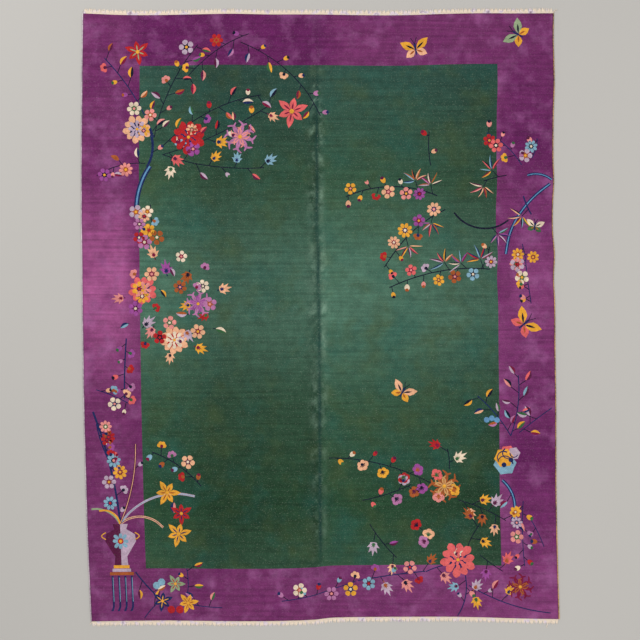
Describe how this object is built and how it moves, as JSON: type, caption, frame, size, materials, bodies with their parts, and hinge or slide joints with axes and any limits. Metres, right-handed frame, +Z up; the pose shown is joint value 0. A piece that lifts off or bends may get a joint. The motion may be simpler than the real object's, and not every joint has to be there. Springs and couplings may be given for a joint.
{
  "type": "chinese art deco rug",
  "caption": "Large hand-knotted wool rug lying flat, with a green field, a purple border, scattered flower sprays, a middle crease, overcast side cords and short fringed ends.",
  "frame": {"origin": "on the floor, under the middle of the rug's outline", "axes": "+Y along the rug's length to the end with the tree of the design, +X across it, +Z up through the pile"},
  "size_m": [2.7967, 3.6093, 0.0138],
  "materials": {
    "wool_pile": "dense cut wool pile, soft lustre",
    "design_wool": "the same pile, in the dyes of the flowers",
    "side_cord_lilac": "overcast wool yarn, matt",
    "side_cord_gold": "overcast wool yarn, matt",
    "fringe_cotton": "undyed cotton, matt"
  },
  "bodies": {
    "root": {"rug_body": "wool_pile", "selvedge_left": "side_cord_lilac", "selvedge_right": "side_cord_gold", "fringe_far": "fringe_cotton", "fringe_near": "fringe_cotton"}
  },
  "joints": []
}
